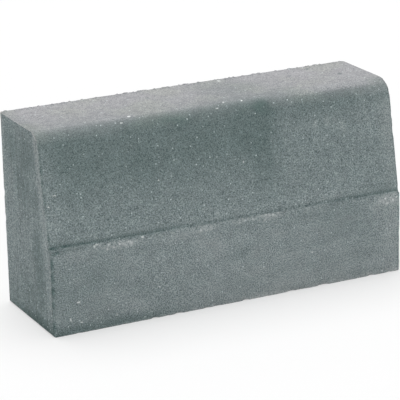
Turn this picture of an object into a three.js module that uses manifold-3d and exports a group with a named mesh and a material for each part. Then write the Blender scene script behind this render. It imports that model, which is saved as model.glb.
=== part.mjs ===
// Precast concrete kerb stone, a half-length high kerb with a battered front.
//
// X runs along the road, the front faces -Y and +Z is up. The origin is the middle of the bed,
// so the stone stands on z = 0 as it does in the kerb line.
//
// The stone is one solid cast in an open mould, standing on its bed. The mould box gives the
// foot, the back and both ends, with rounded upright arrises. The tamper shoe closes it from
// above and presses the tread, the rounded top edge, the batter and the crease at its skirt.

import * as THREE from 'three';
import { mergeVertices } from 'three/addons/utils/BufferGeometryUtils.js';
import Module from 'manifold-3d';

// Driving dimensions, in millimetres.
const length = 500;
const baseWidth = 150; // foot to back, at the bed
const topWidth = 120; // back to where the batter would meet the tread
const height = 256;
const footHeight = 113; // upright foot, from the bed up to its lip
const ledge = 3; // how far the foot stands in front of the batter at the crease
const creaseDepth = 1.5; // how far the shoe's skirt sinks in behind the lip
const edgeRadius = 23; // long top edge between the batter and the tread
const arrisRadius = 3; // upright arrises of both ends, and the ends' lower arris

// How finely the round stretches are stepped.
const edgeSteps = 10;
const arrisSteps = 3;

// How far the blank stands above the tread, and the shoe past the blank, before the cut.
const trim = 2 * arrisRadius;

// Places on the section, with y measured back from the face of the foot.
const setback = baseWidth - topWidth;
const creaseHeight = footHeight - creaseDepth;
const batterRise = height - creaseHeight;
const batterRun = setback - ledge;

// How far back the batter lies at a height.
function batterAt(z) {
  return ledge + (batterRun * (z - creaseHeight)) / batterRise;
}

const wasm = await Module();
wasm.setup();

// A closed three.js geometry as a manifold solid.
function toSolid(geometry) {
  geometry.deleteAttribute('normal');
  geometry.deleteAttribute('uv');
  const merged = mergeVertices(geometry, 1e-4);
  const mesh = new wasm.Mesh({
    numProp: 3,
    vertProperties: new Float32Array(merged.attributes.position.array),
    triVerts: new Uint32Array(merged.index.array),
  });
  return new wasm.Manifold(mesh);
}

// A manifold solid as a flat-shaded three.js geometry.
function toGeometry(solid) {
  const mesh = solid.getMesh();
  const indexed = new THREE.BufferGeometry();
  indexed.setAttribute('position', new THREE.BufferAttribute(mesh.vertProperties, 3));
  indexed.setIndex(new THREE.BufferAttribute(mesh.triVerts, 1));
  const geometry = indexed.toNonIndexed();
  geometry.computeVertexNormals();
  return geometry;
}

// Lays an extrusion of a (y, z) section along X, centred on the origin.
function layAlongRoad(geometry, depth) {
  const upright = new THREE.Matrix4().makeBasis(
    new THREE.Vector3(0, 1, 0),
    new THREE.Vector3(0, 0, 1),
    new THREE.Vector3(1, 0, 0),
  );
  geometry.translate(0, 0, -depth / 2);
  geometry.applyMatrix4(upright);
  geometry.translate(0, -baseWidth / 2, 0);
  return geometry;
}

// The mould's blank: foot, crease and batter in front, plain back, ends with rounded arrises.
// It stands above the tread, so that the cut leaves the ends' top arrises sharp.
function blank() {
  const section = new THREE.Shape();
  section.moveTo(0, 0);
  section.lineTo(baseWidth, 0);
  section.lineTo(baseWidth, height + trim);
  section.lineTo(batterAt(height + trim), height + trim);
  section.lineTo(ledge, creaseHeight);
  section.lineTo(0, footHeight);
  section.closePath();

  const straight = length - 2 * arrisRadius;
  const geometry = new THREE.ExtrudeGeometry(section, {
    depth: straight,
    bevelEnabled: true,
    bevelThickness: arrisRadius,
    bevelSize: arrisRadius,
    bevelOffset: -arrisRadius,
    bevelSegments: arrisSteps,
  });
  return layAlongRoad(geometry, straight);
}

// The tamper shoe's inside above the batter: the rounded edge and the flat tread.
// The arc touches both the batter and the tread.
function shoe() {
  const batterAngle = Math.atan2(batterRise, batterRun);
  const tangentLength = edgeRadius * Math.tan(batterAngle / 2);
  const arcY = setback + tangentLength;
  const arcZ = height - edgeRadius;
  const batterNormal = batterAngle + Math.PI / 2;
  const touchY = arcY + edgeRadius * Math.cos(batterNormal);
  const touchZ = arcZ + edgeRadius * Math.sin(batterNormal);

  const section = new THREE.Shape();
  section.moveTo(-trim, touchZ);
  section.lineTo(touchY, touchZ);
  section.absarc(arcY, arcZ, edgeRadius, batterNormal, Math.PI / 2, true);
  section.lineTo(baseWidth + trim, height);
  section.lineTo(baseWidth + trim, height + 2 * trim);
  section.lineTo(-trim, height + 2 * trim);
  section.closePath();

  const depth = length + 2 * trim;
  const geometry = new THREE.ExtrudeGeometry(section, {
    depth,
    bevelEnabled: false,
    curveSegments: edgeSteps / 2,
  });
  return layAlongRoad(geometry, depth);
}

const stone = toSolid(blank()).subtract(toSolid(shoe()));

const concrete = new THREE.MeshStandardMaterial({
  name: 'concrete',
  color: 0x8b9695,
  roughness: 0.95,
  metalness: 0,
});

const kerb = new THREE.Mesh(toGeometry(stone), concrete);
kerb.name = 'kerb_stone';

const group = new THREE.Group();
group.name = 'concrete_kerb';
group.add(kerb);

export default group;
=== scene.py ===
import math

import bmesh
import bpy
from mathutils import Matrix, Vector, noise


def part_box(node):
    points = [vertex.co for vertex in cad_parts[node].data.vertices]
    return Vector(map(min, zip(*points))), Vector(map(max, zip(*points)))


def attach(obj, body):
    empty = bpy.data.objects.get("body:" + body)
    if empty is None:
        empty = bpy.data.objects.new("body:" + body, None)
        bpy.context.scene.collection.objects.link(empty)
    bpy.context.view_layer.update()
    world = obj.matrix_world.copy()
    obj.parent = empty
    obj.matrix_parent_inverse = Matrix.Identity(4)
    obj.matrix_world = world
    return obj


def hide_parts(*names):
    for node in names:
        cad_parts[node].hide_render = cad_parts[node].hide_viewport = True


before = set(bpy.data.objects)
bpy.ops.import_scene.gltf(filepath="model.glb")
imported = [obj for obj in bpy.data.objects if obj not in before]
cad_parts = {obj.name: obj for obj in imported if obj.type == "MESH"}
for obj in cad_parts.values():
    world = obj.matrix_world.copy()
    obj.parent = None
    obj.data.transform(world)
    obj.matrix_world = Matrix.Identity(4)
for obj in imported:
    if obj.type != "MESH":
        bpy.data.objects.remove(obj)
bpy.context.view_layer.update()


# ---------------------------------------------------------------------------
# Kerb stone.
# One block of dry-cast concrete, vibrated in an upright steel mould. The mould
# box gives foot, back and ends; the tamper shoe presses tread, edge and batter.
# ---------------------------------------------------------------------------

# The outer sizes are the CAD node's, and the rest of the section is as the mould has it.
low_corner, high_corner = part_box("kerb_stone")
length, base_width, height = (round(size, 6) for size in high_corner - low_corner)
top_width = 0.120
foot_height = 0.113
ledge = 0.003
crease_depth = 0.0015
edge_radius = 0.023
edge_steps = 14
arris_radius = 0.003
arris_steps = 3
burr_height = 0.0014
shoe_tilt = 0.0070

# The tread lies below the full height by the burr, which stands up to it along the back.
front = -base_width / 2
back = base_width / 2
half_length = length / 2
tread = height - burr_height
crease_height = foot_height - crease_depth
batter_rise = height - crease_height
batter_run = base_width - top_width - ledge


def front_at(z):
    """Where the front lies along Y at a height: the upright foot, then the batter."""
    if z < crease_height:
        return front
    return front + ledge + batter_run * (z - crease_height) / batter_rise


def press(block, place, normal):
    """The shoe's face cuts the block down to a plane and closes it again."""
    everything = block.verts[:] + block.edges[:] + block.faces[:]
    cut = bmesh.ops.bisect_plane(
        block, geom=everything, dist=1e-6, plane_co=place, plane_no=normal, clear_outer=True
    )
    rim = [e for e in cut["geom_cut"] if isinstance(e, bmesh.types.BMEdge)]
    bmesh.ops.edgeloop_fill(block, edges=rim)


def moulded_block():
    """The block as it leaves the mould: profile, length, arrises, then the pressed top."""
    block = bmesh.new()
    blank_top = height + 2 * arris_radius
    profile = [
        (front, 0.0),
        (back, 0.0),
        (back, blank_top),
        (front_at(blank_top), blank_top),
        (front + ledge, crease_height),
        (front, foot_height),
    ]
    corners = [block.verts.new((-half_length, y, z)) for y, z in profile]
    end = block.faces.new(corners)
    drawn = bmesh.ops.extrude_face_region(block, geom=[end])
    far_corners = [v for v in drawn["geom"] if isinstance(v, bmesh.types.BMVert)]
    bmesh.ops.translate(block, verts=far_corners, vec=(length, 0, 0))
    bmesh.ops.recalc_face_normals(block, faces=block.faces)

    end_arrises = [e for e in block.edges if abs(e.verts[0].co.x - e.verts[1].co.x) < 1e-6]
    bmesh.ops.bevel(
        block,
        geom=end_arrises,
        affect="EDGES",
        offset=arris_radius,
        offset_type="OFFSET",
        segments=arris_steps,
        profile=0.5,
        material=-1,
        clamp_overlap=False,
    )

    edge_turn = math.atan2(batter_rise, batter_run)
    edge_y = front_at(tread) + edge_radius * math.tan(edge_turn / 2)
    edge_z = tread - edge_radius
    for step in range(edge_steps):
        turn = edge_turn * step / edge_steps
        normal = Vector((0, -math.sin(turn), math.cos(turn)))
        place = Vector((0, edge_y, edge_z)) + edge_radius * normal
        press(block, place, normal)
    return block


def net_lines(low, high, spacing, fine=()):
    """Places of the net's lines from low to high, with closer ones where an edge needs them."""
    count = round((high - low) / spacing)
    even = [low + (high - low) * (i + 0.5) / count for i in range(count)]
    return sorted(set(even) | set(fine))


def cut_net(block, axis, places):
    """Divides every face along planes square to one axis."""
    normal = Vector((0, 0, 0))
    normal[axis] = 1
    for place in places:
        point = Vector((0, 0, 0))
        point[axis] = place
        everything = block.verts[:] + block.edges[:] + block.faces[:]
        bmesh.ops.bisect_plane(block, geom=everything, dist=1e-5, plane_co=point, plane_no=normal)


def on_burr(vertex):
    """Whether a vertex lies where the burr stands, on the tread's back edge."""
    return vertex.co.z > tread - 0.0010 and vertex.co.y > back - 0.0050


# The net is finer along the arrises, the crease and the burr, where the relief is.
net_spacing = 0.0025
arris_line = 0.0008
crease_line = 0.0009

kerb_bm = moulded_block()
end_lines = [side * (half_length - arris_line) for side in (-1, 1)]
cut_net(kerb_bm, 0, net_lines(-half_length, half_length, net_spacing, end_lines))
crease_steps = (-8, -7, -6, -3, -2, -1, 1, 2, 3, 4, 5)
crease_lines = [foot_height + crease_line * step for step in crease_steps]
height_lines = (arris_line, tread - arris_line, *crease_lines)
cut_net(kerb_bm, 2, net_lines(0, tread, net_spacing, height_lines))
burr_lines = (back - arris_line, back - 2 * arris_line, back - 3.2 * arris_line)
cut_net(kerb_bm, 1, net_lines(front, back, net_spacing, burr_lines))
burr_edges = [
    edge
    for edge in kerb_bm.edges
    if on_burr(edge.verts[0])
    and on_burr(edge.verts[1])
    and abs(edge.verts[0].co.x - edge.verts[1].co.x) > 0.5 * net_spacing
]
bmesh.ops.subdivide_edges(kerb_bm, edges=burr_edges, cuts=1)
kerb_bm.normal_update()


def ease(start, end, value):
    """0 up to start, 1 from end on, and smooth between; start may be the larger."""
    part = min(max((value - start) / (end - start), 0.0), 1.0)
    return part * part * (3 - 2 * part)


def ripple(place, wavelength, layer=0):
    """A smooth random swing between -1 and 1; each layer is another pattern."""
    return noise.noise(place / wavelength + Vector((17.3 * layer, 5.1 * layer, 0)))


def edge_distance(place):
    """How far a point of the surface is from the nearest outer edge of the block."""
    to_faces = [
        half_length - abs(place.x),
        place.y - front_at(place.z),
        back - place.y,
        place.z,
        tread - place.z,
    ]
    return sorted(to_faces)[1]


def unevenness(place):
    """Depth of the hollows in a cast face: the mould's slow waves and the sand's roughness."""
    waves = 0.00010 * (1 + ripple(place, 0.090))
    sand = 0.00007 * (1 + ripple(place, 0.0050, 1))
    return waves + sand


pore_spacing = 0.016
pore_depth = 0.0006


def pore(place):
    """Depth of the small open pores that dry concrete keeps, one here and there."""
    distances, centres = noise.voronoi(place / pore_spacing)
    is_open = noise.cell(centres[0] * 7) > 0.72
    return pore_depth * ease(0.16, 0.05, distances[0]) if is_open else 0.0


def spot(centres, place):
    """1 in the middle of the nearest round spot, 0 outside; each is x, y, z and radius."""
    amount = 0.0
    for x, y, z, radius in centres:
        away = (place - Vector((x, y, z))).length
        amount = max(amount, ease(radius, 0.25 * radius, away))
    return amount


# Chips knocked off the bed's front edge, as spots, and how deep the arrises are worn.
bed_chip_depth = 0.0016
arris_chip_depth = 0.0012
arris_rub_depth = 0.00018
bed_chips = [
    (0.085, front, 0.0, 0.006),
    (0.131, front, 0.0, 0.009),
    (0.205, front, 0.0, 0.005),
    (-0.112, front, 0.0, 0.005),
]


def arris_wear(place):
    """Depth lost at an outer edge: a light rub everywhere and a chip now and then."""
    near = ease(0.005, 0.0, edge_distance(place))
    rub = arris_rub_depth * (1 + ripple(place, 0.009, 2))
    chip = arris_chip_depth * ease(0.20, 0.65, ripple(place, 0.012, 50))
    below_tread = ease(0.0, 0.020, tread - place.z)
    return near * (rub + chip * below_tread + bed_chip_depth * spot(bed_chips, place))


def rubbed_corner(place):
    """Depth lost where the tread's front edge runs out at the right end and was knocked round."""
    near_end = ease(0.022, 0.0, half_length - place.x)
    near_edge = ease(0.024, 0.009, (tread - place.z) + (place.y - front_at(place.z)))
    return 0.0020 * near_end * near_edge


# Blow holes, as spots: shallow pits where air stood against the shoe.
blow_hole_depth = 0.0012
blow_holes = [
    (0.212, 0.019, tread, 0.0042),
    (0.187, 0.062, tread, 0.0036),
    (0.150, 0.044, tread, 0.0030),
    (-0.060, 0.040, tread, 0.0030),
]


def lip_crumble(place):
    """Depth lost along the foot's lip, where the concrete is thin; most at the left end."""
    on_foot = ease(front + 0.003, front, place.y)
    near = ease(0.007, 0.001, foot_height - place.z) * ease(0.003, 0.0, place.z - foot_height)
    crumbs = 0.0005 * (1 + ripple(Vector((place.x, 0, 0)), 0.010, 4))
    broken = 0.0012 * ease(-0.190, -0.215, place.x)
    return on_foot * near * (crumbs + broken)


def joint_mark(place):
    """Where the mould's end plate left a fine broken line down each upright front arris."""
    joint_place = half_length - 0.0008 - 0.0008 * ease(0.0, height, place.z)
    on_front = ease(front_at(place.z) + 0.0034, front_at(place.z) + 0.0016, place.y)
    reach = 0.0020 + 0.0024 * ease(0.130, 0.100, place.z)
    near = ease(reach, 0.0003, abs(abs(place.x) - joint_place))
    broken = 0.30 + 0.55 * ease(-0.30, 0.30, ripple(place, 0.010, 7))
    faint = max(ease(0.215, 0.235, place.z), ease(0.016, 0.008, abs(place.z - 0.158)))
    return on_front * near * broken * (1 - 0.6 * faint)


def crease_mark(place):
    """How deep the groove above the foot's lip is, 1 at its deepest; shallow in the middle."""
    above = place.z - foot_height
    on_front = ease(front + 0.008, front + 0.005, place.y)
    at_left = ease(-0.185, -0.215, place.x)
    in_middle = ease(-0.090, -0.040, place.x) * ease(0.170, 0.100, place.x)
    reach = 0.0060 - 0.0028 * in_middle + 0.0015 * ripple(Vector((place.x, 0, 0)), 0.040, 8)
    strength = 0.56 + 0.44 * at_left - 0.37 * in_middle
    broken = 1 - 0.35 * ease(0.0, 0.5, ripple(place, 0.009, 14))
    return strength * broken * on_front * ease(reach, 0.0006, above) * ease(-0.0014, 0.0, above)


def crease_shade_band(place):
    """Painted shade spread a few millimetres above and below the crease at its deep left end."""
    on_front = ease(front + 0.008, front + 0.004, place.y) * ease(-0.175, -0.200, place.x)
    return on_front * ease(0.010, 0.003, abs(place.z - foot_height))


def second_crease(place):
    """The shoe struck twice at the left end and left a second, crumbled groove in the foot."""
    on_foot = ease(front + 0.002, front, place.y) * ease(-0.222, -0.238, place.x)
    strayed = 0.0010 * ripple(place, 0.006, 15)
    near = ease(0.0026, 0.0004, abs(place.z - foot_height + 0.0046 + strayed))
    return on_foot * near * ease(-0.5, 0.1, ripple(place, 0.005, 9))


def crease_wander(place):
    """How far the crease strays: low at the right, bowed up in the middle, with a worn edge."""
    near = ease(0.012, 0.002, abs(place.z - foot_height))
    near *= ease(front + 0.008, front + 0.003, place.y)
    worn = 0.0006 * ripple(Vector((place.x, 0, 0)), 0.035, 5)
    bowed = 0.0007 * ease(0.160, 0.060, abs(place.x - 0.040))
    return near * (worn + bowed - 0.0007 - shoe_tilt * place.x)


def burr_crumbs(place):
    """Where a crumb stands on the burr, 1 in its middle."""
    return ease(0.05, 0.40, ripple(place, 0.0042, 6))


def back_burr(place):
    """Height of the crumbly ridge squeezed up between shoe and mould along the back."""
    near = ease(0.0045, 0.0008, back - place.y) * ease(tread - 0.0012, tread - 0.0002, place.z)
    knocked_off = ease(0.0, 0.012, half_length - place.x)
    ridge = 0.35 + 0.20 * ripple(place, 0.040, 13)
    return burr_height * near * knocked_off * min(ridge + 0.65 * burr_crumbs(place), 1.0)


def burr_shade(place):
    """Painted shade in front of the burr's crumbs, where they stand over the tread."""
    beside = ease(0.0060, 0.0040, back - place.y) * ease(0.0006, 0.0024, back - place.y)
    return beside * burr_crumbs(place) * ease(tread - 0.0012, tread - 0.0002, place.z)


def weather_cloud(place):
    """Long flat clouds, 10 and 25 mm high: paler and drier below 0, darker and damper above."""
    drawn_out = Vector((0.5 * place.x, place.y, place.z))
    return 0.6 * ripple(drawn_out, 0.024, 18) + 0.4 * ripple(drawn_out, 0.009, 19)


# Amounts of damp run up to most_damp, which the vertex attribute holds as 1. The batter's wet
# patch ends at damp_stop. Each stain is its centre across and up, half sizes and strength.
most_damp = 1.3
damp_stop = 0.078
batter_stains = [
    (0.046, 0.226, 0.046, 0.036, 0.10),
    (0.062, 0.241, 0.026, 0.014, 0.32),
    (-0.064, 0.243, 0.028, 0.011, 0.16),
    (0.059, 0.184, 0.027, 0.058, 0.15),
    (-0.112, 0.188, 0.026, 0.036, 0.07),
    (-0.030, 0.215, 0.030, 0.030, 0.06),
]
foot_stains = [
    (-0.240, 0.060, 0.044, 0.062, 0.15),
    (-0.188, 0.052, 0.042, 0.056, 0.22),
    (0.012, 0.066, 0.012, 0.010, 0.22),
    (0.160, 0.084, 0.036, 0.034, 0.18),
]
tread_stains = [
    (0.048, 0.034, 0.052, 0.056, 0.30),
    (0.052, -0.030, 0.080, 0.036, 0.26),
    (-0.190, -0.025, 0.040, 0.030, 0.08),
    (-0.248, 0.015, 0.018, 0.080, 0.18),
    (0.242, -0.036, 0.018, 0.014, 0.30),
]
end_stains = [
    (-0.008, 0.216, 0.034, 0.034, 0.42),
    (0.034, 0.216, 0.030, 0.030, 0.44),
    (0.004, 0.180, 0.034, 0.044, 0.36),
    (-0.026, 0.170, 0.018, 0.026, 0.34),
    (-0.036, 0.072, 0.024, 0.072, 0.44),
    (-0.010, 0.034, 0.050, 0.030, 0.34),
    (-0.030, 0.000, 0.066, 0.024, 0.62),
    (0.046, 0.014, 0.036, 0.028, 0.20),
]


def stained(stains, across, up):
    """The strongest of a list of stains at a place, fading out at their ragged rims."""
    amount = 0.0
    for centre_across, centre_up, half_width, half_height, strength in stains:
        away = math.hypot((across - centre_across) / half_width, (up - centre_up) / half_height)
        amount = max(amount, strength * ease(1.25, 0.35, away))
    return amount


def batter_damp_and_shade(place, across, up):
    """The batter: soaked under the edge up to damp_stop; painted shade under the edge and above the
    crease at the right, paler above it in the middle.
    """
    soaked = 0.34 + 0.42 * ease(0.135, 0.215, up) + stained(batter_stains, across, up)
    # The last term of the dry level is painted shade under the rounded edge.
    dry = 0.29 + 0.08 * ease(0.150, 0.185, up) + 0.28 * ease(0.210, 0.243, up)
    dry -= 0.12 * ease(0.180, 0.205, across) * ease(0.178, 0.192, up)
    stop = damp_stop + 0.012 * ease(0.185, 0.150, place.z)
    inside = ease(stop + 0.020, stop - 0.024, across) * ease(-0.250, -0.213, across)
    # Painted shade along the batter's top, under the rounded edge.
    under_edge_shade = 0.12 + 0.08 * ease(-0.150, -0.110, across) * ease(0.080, 0.060, across)
    # Above the crease: painted shade at the right end, paler in the middle.
    right_crease_shade = 0.15 * ease(0.200, 0.230, across)
    paler_above_crease = 0.12 * ease(-0.140, -0.070, across) * ease(0.180, 0.140, across)
    amount = dry + (soaked - dry) * inside
    amount += under_edge_shade * ease(0.236, 0.245, up)
    amount += (right_crease_shade - paler_above_crease) * ease(0.134, 0.120, up)
    return amount + 0.05 * weather_cloud(place)


def tread_damp(place, across, ragged):
    """The tread: darker towards its front edge, less so at the right, and in a few stains."""
    amount = 0.08 + 0.22 * ease(back - 0.010, front + 0.050, place.y)
    amount *= 0.60 + 0.40 * ease(0.140, 0.110, across)
    return amount + stained(tread_stains, across, place.y + ragged)


def foot_damp(place, across, up):
    """The foot: nearly dry, with damp clouds and a few stains."""
    return 0.06 + 0.34 * max(weather_cloud(place), 0.0) + stained(foot_stains, across, up)


def damp_and_shade_at(place):
    """How damp and dark the concrete is, painted shade included; the patches have ragged edges."""
    ragged = 0.008 * ripple(place, 0.030, 10) + 0.005 * ripple(place, 0.012, 11)
    across = place.x + ragged
    up = place.z + ragged
    if place.x < -half_length + 0.001:
        return 0.16 + stained(end_stains, place.y + ragged, up)
    if place.x > half_length - 0.001 or place.y > back - 0.001:
        return 0.14 + 0.16 * ripple(place, 0.070, 17) + 0.20 * ease(0.060, 0.010, up)

    on_batter = batter_damp_and_shade(place, across, up)
    on_tread = tread_damp(place, across, ragged)
    on_foot = foot_damp(place, across, up)
    edge_reach = 0.020 - 0.009 * ease(0.060, 0.120, across)
    over_edge = ease(edge_reach, 0.004, place.y - front_at(place.z))
    above_foot = ease(foot_height - 0.001, foot_height + 0.001, place.z)
    on_shoe_side = on_tread + (on_batter - on_tread) * over_edge
    return max(on_foot + (on_shoe_side - on_foot) * above_foot, 0.0)


# Lime that bloomed on the foot, under the crease and along the bed, listed like the stains.
lime_runs = [
    (-0.215, 0.110, 0.022, 0.005, 0.35),
    (-0.160, 0.106, 0.034, 0.006, 0.62),
    (-0.151, 0.107, 0.013, 0.0050, 1.00),
    (-0.088, 0.107, 0.036, 0.007, 0.12),
    (-0.040, 0.108, 0.020, 0.006, 0.55),
    (0.010, 0.110, 0.016, 0.006, 0.40),
    (0.052, 0.110, 0.030, 0.007, 0.60),
    (0.120, 0.109, 0.024, 0.006, 0.15),
    (0.238, 0.102, 0.022, 0.008, 1.00),
    (-0.140, 0.001, 0.060, 0.0026, 0.45),
    (0.048, 0.002, 0.044, 0.0038, 0.80),
    (0.130, 0.002, 0.044, 0.0036, 0.45),
    (0.212, 0.002, 0.045, 0.0038, 0.85),
]

# Single white crumbs of lime or quartz, as spots.
white_crumbs = [
    (-0.1872, front, 0.1130, 0.0052),
    (-0.191, front, 0.109, 0.0036),
    (-0.185, front + 0.004, 0.119, 0.0024),
    (-0.125, front, 0.112, 0.0046),
    (-0.215, front, 0.041, 0.0036),
    (-0.227, front, 0.020, 0.0036),
    (-0.212, front, 0.014, 0.0034),
    (-0.163, front, 0.015, 0.0032),
    (0.227, front, 0.105, 0.0036),
    (0.244, front, 0.104, 0.0044),
    (-0.117, -0.027, tread, 0.0046),
    (-0.1325, -0.0385, 0.2511, 0.0027),
    (0.0000, -0.0390, 0.2507, 0.0030),
    (0.0146, -0.0283, 0.2545, 0.0030),
    (0.0392, -0.0314, 0.2540, 0.0031),
    (0.0567, 0.0680, tread, 0.0050),
    (-0.2445, front_at(0.166), 0.166, 0.0032),
    (-0.2350, front_at(0.179), 0.179, 0.0032),
    (-0.0940, front_at(0.176), 0.176, 0.0031),
    (0.0260, front_at(0.181), 0.181, 0.0031),
    (0.0680, front_at(0.202), 0.202, 0.0029),
    (-0.1030, front, 0.041, 0.0031),
    (0.1170, front, 0.048, 0.0031),
]

# Short scrapes on the batter, listed like the stains.
scrapes = [
    (0.134, 0.214, 0.004, 0.008, 0.60),
    (0.152, 0.215, 0.005, 0.007, 0.60),
    (0.163, 0.215, 0.003, 0.005, 0.50),
    (0.174, 0.205, 0.005, 0.009, 0.50),
    (-0.236, 0.142, 0.012, 0.012, 0.20),
]


def lime_at(place):
    """How much lime has bloomed on the foot under the crease and along the bed, in a few runs."""
    on_foot = ease(front + 0.004, front + 0.001, place.y)
    return on_foot * stained(lime_runs, place.x, place.z)


def end_scuff_and_light(place, behind_front):
    """The ends: paler along the strip behind the front arris, a painted highlight on the ridge
    there, and painted light along the back.
    """
    strip = 0.016 + 0.008 * ease(0.215, 0.120, place.z)
    on_strip = ease(strip, strip * 0.7, behind_front) * ease(0.050, 0.120, place.z)
    on_strip *= 0.25 + 0.25 * ease(0.150, 0.185, place.z) + 0.22 * ease(0.205, 0.230, place.z)
    # Painted highlight on the ridge, where the end plate's fin catches the light.
    ridge_highlight = ease(0.012, 0.005, behind_front) * ease(0.010, 0.040, place.z)
    ridge_highlight *= 0.5 * (0.8 + 0.5 * ripple(place, 0.020, 12))
    # Painted light along the end's back edge, where light wraps round from behind.
    on_back = 0.4 * ease(0.014, 0.004, back - place.y) * ease(0.040, 0.080, place.z)
    on_end = ease(half_length - 0.0030, half_length - 0.0010, abs(place.x))
    return on_end * max(on_strip, ridge_highlight, on_back)


def front_scuff_and_light(place, behind_front):
    """The front: scrapes, painted light on the low foot and its bed arris, the right end and the
    dry clouds.
    """
    scraped = stained(scrapes, place.x, place.z)
    # Painted light on the low foot and its bed arris, which face the floor.
    low_foot_light = 0.30 * ease(0.070, 0.010, place.z) * ease(-0.120, -0.020, place.x)
    bed_arris_light = 0.90 * ease(0.0045, 0.0008, place.z) * ease(-0.240, -0.200, place.x)
    right_end = (0.35 + 0.20 * ease(0.150, 0.190, place.z)) * ease(0.240, 0.228, place.z)
    right_end *= ease(0.222 - 0.026 * ease(0.120, 0.100, place.z), 0.242, place.x)
    clouded = 0.75 * max(-weather_cloud(place), 0.0) * ease(0.135, 0.110, place.z)
    on_front = ease(0.004, 0.0, behind_front)
    return on_front * (max(scraped, low_foot_light, bed_arris_light, right_end) + clouded)


def scuff_and_light_at(place):
    """How much the surface is rubbed pale, painted light included."""
    behind_front = place.y - front_at(place.z)
    return max(end_scuff_and_light(place, behind_front), front_scuff_and_light(place, behind_front))


def shade_and_grime_at(place):
    """How much painted shade, and dirt in the creases, darkens creases, joints, blow holes and the
    bed at the left.
    """
    # Painted shade along the bed at the left, where the stone meets the floor.
    bed_floor_shade = 0.50 * ease(0.017, 0.003, place.z) * ease(-0.030, -0.160, place.x)
    bed_floor_shade *= ease(0.085, 0.040, place.y)
    # Painted shade in the grooves and beside the joint lines, with some dirt in the crease.
    creases = max(0.9 * crease_mark(place), 0.9 * second_crease(place), joint_mark(place))
    creases = max(creases, 0.26 * crease_shade_band(place))
    # Painted shade in the blow holes and in front of the burr's crumbs.
    holes = max(0.8 * spot(blow_holes, place), 0.20 * burr_shade(place))
    return max(creases, holes, bed_floor_shade)


def tread_dust_and_light_share(place, normal):
    """How much of the tread's paler paste shows, 1 on the tread and fading down its edge: partly
    dust, partly painted light on the upward face.
    """
    behind_edge = ease(-0.050, -0.010, place.y)
    above_batter = ease(0.200, 0.225, place.z)
    return above_batter * ease(0.10, 0.90, normal.z) * (0.75 + 0.25 * behind_edge)


def drawn_share(normal):
    """How strongly draw marks show, by which way the face looks: most on the ends."""
    on_end = ease(0.3, 0.9, abs(normal.x))
    on_back = 0.6 * ease(0.3, 0.9, normal.y)
    return max(on_end, on_back) * ease(0.12, 0.04, abs(normal.z))


# Depth of the groove above the foot's lip, of the second one below it, and of the joint lines.
crease_groove = 0.0012
second_groove = 0.0006
joint_groove = 0.0004

layers = kerb_bm.verts.layers.float
damp_and_shade_layer = layers.new("damp")
lime_layer = layers.new("lime")
crumb_layer = layers.new("crumb")
scuff_and_light_layer = layers.new("scuff_and_light")
shade_and_grime_layer = layers.new("shade_and_grime")
tread_dust_and_light_layer = layers.new("tread")
drawn_layer = layers.new("drawn")
for vertex in kerb_bm.verts:
    place = vertex.co.copy()
    vertex[damp_and_shade_layer] = damp_and_shade_at(place) / most_damp
    vertex[lime_layer] = lime_at(place)
    vertex[crumb_layer] = spot(white_crumbs, place)
    vertex[scuff_and_light_layer] = scuff_and_light_at(place)
    vertex[shade_and_grime_layer] = shade_and_grime_at(place)
    vertex[tread_dust_and_light_layer] = tread_dust_and_light_share(place, vertex.normal)
    vertex[drawn_layer] = drawn_share(vertex.normal)
    depth = unevenness(place) + pore(place) + arris_wear(place) + rubbed_corner(place)
    depth += lip_crumble(place) + blow_hole_depth * spot(blow_holes, place)
    depth += crease_groove * crease_mark(place) + second_groove * second_crease(place)
    depth += joint_groove * joint_mark(place)
    vertex.co -= depth * vertex.normal
    vertex.co.z += crease_wander(place) + back_burr(place)
    vertex.co.y = max(vertex.co.y, front)
    vertex.co.z = max(vertex.co.z, 0)

kerb_mesh = bpy.data.meshes.new("kerb_stone_cast")
kerb_bm.to_mesh(kerb_mesh)
kerb_bm.free()
kerb = bpy.data.objects.new("kerb_stone_cast", kerb_mesh)
bpy.context.scene.collection.objects.link(kerb)
for polygon in kerb_mesh.polygons:
    polygon.use_smooth = True


def linear(hex_colour):
    """An sRGB hex colour as linear red, green, blue and full alpha."""
    channels = []
    for start in (1, 3, 5):
        value = int(hex_colour[start : start + 2], 16) / 255
        channels.append(value / 12.92 if value <= 0.04045 else ((value + 0.055) / 1.055) ** 2.4)
    return (*channels, 1.0)


def add_node(material, kind, inputs=None, **settings):
    """Adds a node with its settings; an input is given a value or linked to a socket."""
    node = material.node_tree.nodes.new(kind)
    for name, value in settings.items():
        setattr(node, name, value)
    for name, value in (inputs or {}).items():
        if isinstance(value, bpy.types.NodeSocket):
            material.node_tree.links.new(value, node.inputs[name])
        else:
            node.inputs[name].default_value = value
    return node


# Dry-cast concrete: quartz sand up to 2 mm in grey cement paste, tamped almost dry.
# The face stays matt and open, with pale grains, dark pores and a slight green cast.
concrete = bpy.data.materials.new("dry_cast_concrete")
concrete.use_nodes = True
coordinates = add_node(concrete, "ShaderNodeTexCoord").outputs["Object"]

# Sand grains 1 to 2 mm across.
grain_size = 0.0015
grain = add_node(
    concrete,
    "ShaderNodeTexNoise",
    {"Vector": coordinates, "Scale": 1 / grain_size, "Detail": 1.0, "Roughness": 0.6},
)
grain_tone = add_node(
    concrete,
    "ShaderNodeMapRange",
    {"Value": grain.outputs["Fac"], "From Min": 0.28, "From Max": 0.72},
)

# Water fills the pores, so damp concrete shows its grain a little less.
damp_and_shade_amount = add_node(concrete, "ShaderNodeAttribute", attribute_name="damp")
filled_pores = add_node(
    concrete,
    "ShaderNodeMath",
    {0: damp_and_shade_amount.outputs["Fac"], 1: 0.36},
    operation="MULTIPLY",
)
evened_grain = add_node(
    concrete,
    "ShaderNodeMix",
    {0: filled_pores.outputs["Value"], 2: grain_tone.outputs["Result"], 3: 0.5},
)

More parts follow.
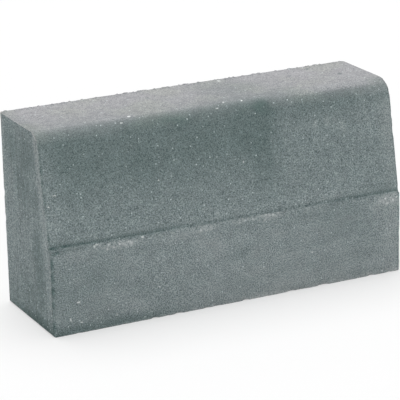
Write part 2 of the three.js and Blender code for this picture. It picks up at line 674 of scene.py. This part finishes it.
# Where the arrises were rubbed, more of the pale grains lie bare. The same mix paints light
# on the ends' ridge and back edge, and on the foot's low part and bed arris.
scuff_and_light_amount = add_node(concrete, "ShaderNodeAttribute", attribute_name="scuff_and_light")
rubbed_and_lit_tone = add_node(
    concrete,
    "ShaderNodeMath",
    {0: scuff_and_light_amount.outputs["Fac"], 1: 0.26, 2: evened_grain.outputs[0]},
    operation="MULTIPLY_ADD",
    use_clamp=True,
)
cast_face = add_node(
    concrete,
    "ShaderNodeMixRGB",
    {
        "Fac": rubbed_and_lit_tone.outputs["Value"],
        "Color1": linear("#546668"),
        "Color2": linear("#bfc9ca"),
    },
)

# The tread: the paste there is paler and has lost its green cast under fine cement dust,
# which lies in clouds about 60 mm across. Part of that paleness is painted light,
# a lit copy of the concrete on the upward face.
dust_cloud = 0.060
dust = add_node(
    concrete,
    "ShaderNodeTexNoise",
    {"Vector": coordinates, "Scale": 1 / dust_cloud, "Detail": 3.0, "Roughness": 0.6},
)
dust_cover = add_node(
    concrete,
    "ShaderNodeMapRange",
    {"Value": dust.outputs["Fac"], "From Min": 0.44, "From Max": 0.60},
)
dusted_grain = add_node(
    concrete,
    "ShaderNodeMixRGB",
    {
        "Fac": dust_cover.outputs["Result"],
        "Color1": linear("#bebcbf"),
        "Color2": linear("#bebebb"),
    },
)
lit_dusty_tread_face = add_node(
    concrete,
    "ShaderNodeMixRGB",
    {
        "Fac": evened_grain.outputs[0],
        "Color1": linear("#7c7f82"),
        "Color2": dusted_grain.outputs["Color"],
    },
)
tread_dust_and_light_amount = add_node(concrete, "ShaderNodeAttribute", attribute_name="tread")
# Rubbed arrises and painted light also take the tread's paler colour.
dusty_and_lit_amount = add_node(
    concrete,
    "ShaderNodeMath",
    {0: scuff_and_light_amount.outputs["Fac"], 1: 0.34, 2: tread_dust_and_light_amount.outputs["Fac"]},
    operation="MULTIPLY_ADD",
    use_clamp=True,
)
faces = add_node(
    concrete,
    "ShaderNodeMixRGB",
    {
        "Fac": dusty_and_lit_amount.outputs["Value"],
        "Color1": cast_face.outputs["Color"],
        "Color2": lit_dusty_tread_face.outputs["Color"],
    },
)

# Mottling of denser and looser concrete, about 15 mm across.
mottle_size = 0.015
mottle = add_node(
    concrete,
    "ShaderNodeTexNoise",
    {"Vector": coordinates, "Scale": 1 / mottle_size, "Detail": 3.0, "Roughness": 0.65},
)
mottle_tone = add_node(
    concrete,
    "ShaderNodeMapRange",
    {
        "Value": mottle.outputs["Fac"],
        "From Min": 0.3,
        "From Max": 0.7,
        "To Min": 0.90,
        "To Max": 1.10,
    },
)

# Draw marks: the mould was pulled up off the wet block and left upright streaks on its ends
# and fainter ones on its back.
streak_width = 0.004
streak_length = 0.080
streak_grid = add_node(
    concrete,
    "ShaderNodeMapping",
    {"Vector": coordinates, "Scale": (1 / streak_width, 1 / streak_width, 1 / streak_length)},
)
streak = add_node(
    concrete,
    "ShaderNodeTexNoise",
    {"Vector": streak_grid.outputs["Vector"], "Scale": 1.0, "Detail": 3.0, "Roughness": 0.6},
)
streak_tone = add_node(
    concrete,
    "ShaderNodeMapRange",
    {
        "Value": streak.outputs["Fac"],
        "From Min": 0.3,
        "From Max": 0.7,
        "To Min": 0.82,
        "To Max": 1.18,
    },
)
drawn_amount = add_node(concrete, "ShaderNodeAttribute", attribute_name="drawn")
cloud_tone = add_node(
    concrete,
    "ShaderNodeMath",
    {0: mottle_tone.outputs["Result"], 1: streak_tone.outputs["Result"]},
    operation="MULTIPLY",
)
tone = add_node(
    concrete,
    "ShaderNodeMix",
    {
        0: drawn_amount.outputs["Fac"],
        2: mottle_tone.outputs["Result"],
        3: cloud_tone.outputs["Value"],
    },
)
clouded = add_node(
    concrete,
    "ShaderNodeVectorMath",
    {0: faces.outputs["Color"], "Scale": tone.outputs[0]},
    operation="SCALE",
)

# Damp patches, old stains and painted shade under the tread's edge and above the crease make the
# concrete darker and a little greener.
damp = add_node(
    concrete,
    "ShaderNodeMixRGB",
    {
        "Fac": damp_and_shade_amount.outputs["Fac"],
        "Color1": clouded.outputs["Vector"],
        "Color2": linear("#92aaa5"),
    },
    blend_type="MULTIPLY",
)

# Lime bloom on the foot: a thin pale crust, broken up every 4 mm, with near-white crumbs in it.
crust_size = 0.004
lime_amount = add_node(concrete, "ShaderNodeAttribute", attribute_name="lime")
crust = add_node(
    concrete,
    "ShaderNodeTexNoise",
    {"Vector": coordinates, "Scale": 1 / crust_size, "Detail": 3.0, "Roughness": 0.7},
)
crust_cover = add_node(
    concrete,
    "ShaderNodeMapRange",
    {"Value": crust.outputs["Fac"], "From Min": 0.38, "From Max": 0.60},
)
lime_cover = add_node(
    concrete,
    "ShaderNodeMath",
    {0: lime_amount.outputs["Fac"], 1: crust_cover.outputs["Result"]},
    operation="MULTIPLY",
)
lime = add_node(
    concrete,
    "ShaderNodeMixRGB",
    {
        "Fac": lime_cover.outputs["Value"],
        "Color1": damp.outputs["Color"],
        "Color2": linear("#c2c8c8"),
    },
)
crumb_cover = add_node(
    concrete,
    "ShaderNodeMapRange",
    {"Value": crust.outputs["Fac"], "From Min": 0.58, "From Max": 0.64},
)
bloom_crumbs = add_node(
    concrete,
    "ShaderNodeMath",
    {0: lime_amount.outputs["Fac"], 1: crumb_cover.outputs["Result"]},
    operation="MULTIPLY",
)
crumb_place = add_node(concrete, "ShaderNodeAttribute", attribute_name="crumb")
ragged_crumb = add_node(
    concrete,
    "ShaderNodeMath",
    {0: crumb_place.outputs["Fac"], 1: crust.outputs["Fac"]},
    operation="ADD",
)
loose_crumbs = add_node(
    concrete,
    "ShaderNodeMapRange",
    {"Value": ragged_crumb.outputs["Value"], "From Min": 1.02, "From Max": 1.36},
)
crumb_amount = add_node(
    concrete,
    "ShaderNodeMath",
    {0: bloom_crumbs.outputs["Value"], 1: loose_crumbs.outputs["Result"]},
    operation="MAXIMUM",
)
crumbed = add_node(
    concrete,
    "ShaderNodeMixRGB",
    {
        "Fac": crumb_amount.outputs["Value"],
        "Color1": lime.outputs["Color"],
        "Color2": linear("#e6eae9"),
    },
)

# Quartz grains that lie bare, about 1.5 mm across and a centimetre apart, from dull to bright.
quartz_cell = 0.005
quartz = add_node(
    concrete,
    "ShaderNodeTexVoronoi",
    {"Vector": coordinates, "Scale": 1 / quartz_cell, "Randomness": 1.0},
)
quartz_pick = add_node(concrete, "ShaderNodeSeparateColor", {"Color": quartz.outputs["Color"]})
quartz_shine = add_node(
    concrete,
    "ShaderNodeMapRange",
    {"Value": quartz_pick.outputs["Red"], "From Min": 0.70, "From Max": 1.0},
)
quartz_disc = add_node(
    concrete,
    "ShaderNodeMapRange",
    {"Value": quartz.outputs["Distance"], "From Min": 0.22, "From Max": 0.14},
)
quartz_amount = add_node(
    concrete,
    "ShaderNodeMath",
    {0: quartz_shine.outputs["Result"], 1: quartz_disc.outputs["Result"]},
    operation="MULTIPLY",
)

# Painted shade in the creases, beside the joint lines, in the blow holes, in front of the burr's
# crumbs and along the bed, with some dirt in the creases.
shade_and_grime_amount = add_node(concrete, "ShaderNodeAttribute", attribute_name="shade_and_grime")
shaded_and_grimed = add_node(
    concrete,
    "ShaderNodeMixRGB",
    {
        "Fac": shade_and_grime_amount.outputs["Fac"],
        "Color1": crumbed.outputs["Color"],
        "Color2": linear("#99b5b2"),
    },
    blend_type="MULTIPLY",
)
sanded = add_node(
    concrete,
    "ShaderNodeMixRGB",
    {
        "Fac": quartz_amount.outputs["Value"],
        "Color1": shaded_and_grimed.outputs["Color"],
        "Color2": linear("#d6e1e3"),
    },
)

# The grains stand proud of the paste by a fraction of a millimetre.
bump = add_node(
    concrete,
    "ShaderNodeBump",
    {"Height": grain.outputs["Fac"], "Strength": 0.35, "Distance": 0.001},
)
shader = concrete.node_tree.nodes["Principled BSDF"]
shader.inputs["Roughness"].default_value = 0.95
concrete.node_tree.links.new(sanded.outputs["Color"], shader.inputs["Base Color"])
concrete.node_tree.links.new(bump.outputs["Normal"], shader.inputs["Normal"])
kerb_mesh.materials.append(concrete)

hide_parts("kerb_stone")
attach(kerb, "root")


# ---------------------------------------------------------------------------
# Studio.
# A floor painted white, a wide soft lamp overhead and a little behind, a weak
# one in front, and the camera at the stone's front left.
# ---------------------------------------------------------------------------

floor_reach = 4.0
floor_bm = bmesh.new()
bmesh.ops.create_grid(floor_bm, x_segments=1, y_segments=1, size=floor_reach)
floor_mesh = bpy.data.meshes.new("floor")
floor_bm.to_mesh(floor_mesh)
floor_bm.free()
floor = bpy.data.objects.new("floor", floor_mesh)
bpy.context.scene.collection.objects.link(floor)

# Matt floor paint. The eye sees it nearly white and its shadow faint; to other rays it is
# light grey, so that it throws less light up at the stone.
floor_paint = bpy.data.materials.new("matt_floor_paint")
floor_paint.use_nodes = True
ray = add_node(floor_paint, "ShaderNodeLightPath")
floor_tone = add_node(
    floor_paint,
    "ShaderNodeMixRGB",
    {"Fac": ray.outputs["Is Camera Ray"], "Color1": linear("#c8c8c8"), "Color2": linear("#f0f0f0")},
)
floor_shader = floor_paint.node_tree.nodes["Principled BSDF"]
floor_shader.inputs["Roughness"].default_value = 0.9
floor_paint.node_tree.links.new(floor_tone.outputs["Color"], floor_shader.inputs["Base Color"])
painted_white = add_node(
    floor_paint,
    "ShaderNodeMath",
    {0: ray.outputs["Is Camera Ray"], 1: 0.5},
    operation="MULTIPLY",
)
white = add_node(floor_paint, "ShaderNodeEmission", {"Strength": 1.0})
floor_look = add_node(
    floor_paint,
    "ShaderNodeMixShader",
    {
        0: painted_white.outputs["Value"],
        1: floor_shader.outputs["BSDF"],
        2: white.outputs["Emission"],
    },
)
floor_paint.node_tree.links.new(
    floor_look.outputs["Shader"], floor_paint.node_tree.nodes["Material Output"].inputs["Surface"]
)
floor_mesh.materials.append(floor_paint)

# The world lights the stone from all round at a low level, and is plain white to look at.
studio = bpy.data.worlds.new("studio")
bpy.context.scene.world = studio
studio.use_nodes = True
background = studio.node_tree.nodes["Background"]
background.inputs["Color"].default_value = (1, 1, 1, 1)
background.inputs["Strength"].default_value = 0.42
white_view = add_node(studio, "ShaderNodeBackground", {"Color": (1, 1, 1, 1), "Strength": 1.0})
view_ray = add_node(studio, "ShaderNodeLightPath")
seen_or_mirrored = add_node(
    studio,
    "ShaderNodeMath",
    {0: view_ray.outputs["Is Camera Ray"], 1: view_ray.outputs["Is Glossy Ray"]},
    operation="MAXIMUM",
)
seen_white = add_node(
    studio,
    "ShaderNodeMath",
    {0: seen_or_mirrored.outputs["Value"], 1: view_ray.outputs["Is Transmission Ray"]},
    operation="MAXIMUM",
)
studio_look = add_node(
    studio,
    "ShaderNodeMixShader",
    {
        0: seen_white.outputs["Value"],
        1: background.outputs["Background"],
        2: white_view.outputs["Background"],
    },
)
studio.node_tree.links.new(
    studio_look.outputs["Shader"], studio.node_tree.nodes["World Output"].inputs["Surface"]
)


def add_lamp(name, level, spread, turn):
    """A distant softbox; at level 1 it alone shows a colour that faces it as written."""
    lamp = bpy.data.lights.new(name, "SUN")
    lamp.energy = level * math.pi
    lamp.angle = math.radians(spread)
    lamp_object = bpy.data.objects.new(name, lamp)
    lamp_object.rotation_euler = [math.radians(angle) for angle in turn]
    bpy.context.scene.collection.objects.link(lamp_object)


add_lamp("overhead_softbox", level=0.70, spread=50, turn=(-12, 0, 0))
add_lamp("front_fill", level=0.14, spread=60, turn=(78, 0, 15))

focal_length_px = 2187.30
image_px = 400
sensor_mm = 36
view_yaw = math.radians(26.118)
view_pitch = math.radians(17.954)
view_roll = math.radians(1.280)
camera_place = (-1.19520, -2.42186, 0.99333)

camera = bpy.data.cameras.new("camera")
camera.sensor_width = sensor_mm
camera.lens = sensor_mm * focal_length_px / image_px
camera_object = bpy.data.objects.new("camera", camera)
camera_object.matrix_world = (
    Matrix.Translation(camera_place)
    @ Matrix.Rotation(-view_yaw, 4, "Z")
    @ Matrix.Rotation(math.pi / 2 - view_pitch, 4, "X")
    @ Matrix.Rotation(-view_roll, 4, "Z")
)
bpy.context.scene.collection.objects.link(camera_object)
bpy.context.scene.camera = camera_object
bpy.context.scene.view_settings.view_transform = "Standard"
